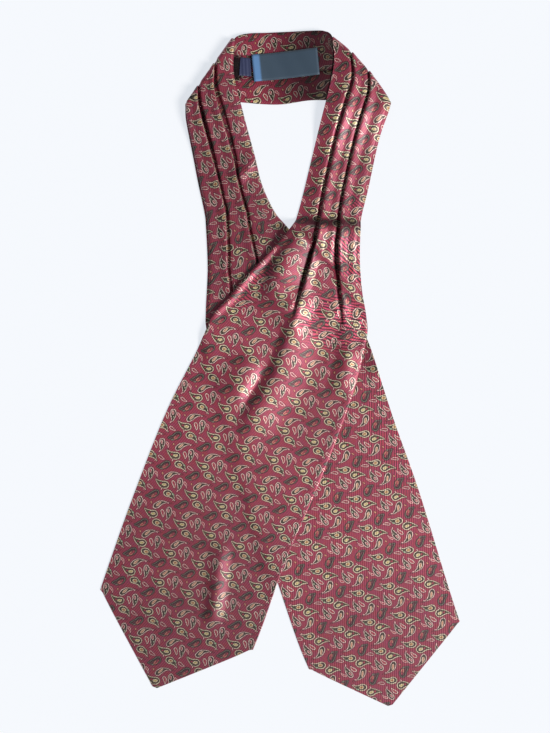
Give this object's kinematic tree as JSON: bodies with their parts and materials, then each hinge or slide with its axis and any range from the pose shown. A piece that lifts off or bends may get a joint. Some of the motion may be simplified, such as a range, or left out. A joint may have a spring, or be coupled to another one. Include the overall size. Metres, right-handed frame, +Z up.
{
  "type": "silk cravat",
  "caption": "Silk day cravat laid out flat, with a narrow neckband, pleated neck ends that cross, and two wide pointed blades.",
  "frame": {"origin": "centre of the footprint on the surface that the cravat lies on", "axes": "+X to the right of the laid-out cravat, +Y from the blade points to the neckband, +Z up from the surface"},
  "size_m": [0.314, 0.5874, 0.0091],
  "materials": {
    "silk": "soft sheen",
    "blue_label": "satin",
    "navy_label": "satin"
  },
  "bodies": {
    "root": {"neckband": "silk", "left_neck_end": "silk", "right_neck_end": "silk", "under_blade": "silk", "over_blade": "silk", "brand_label": "blue_label", "care_label": "navy_label"}
  },
  "joints": []
}
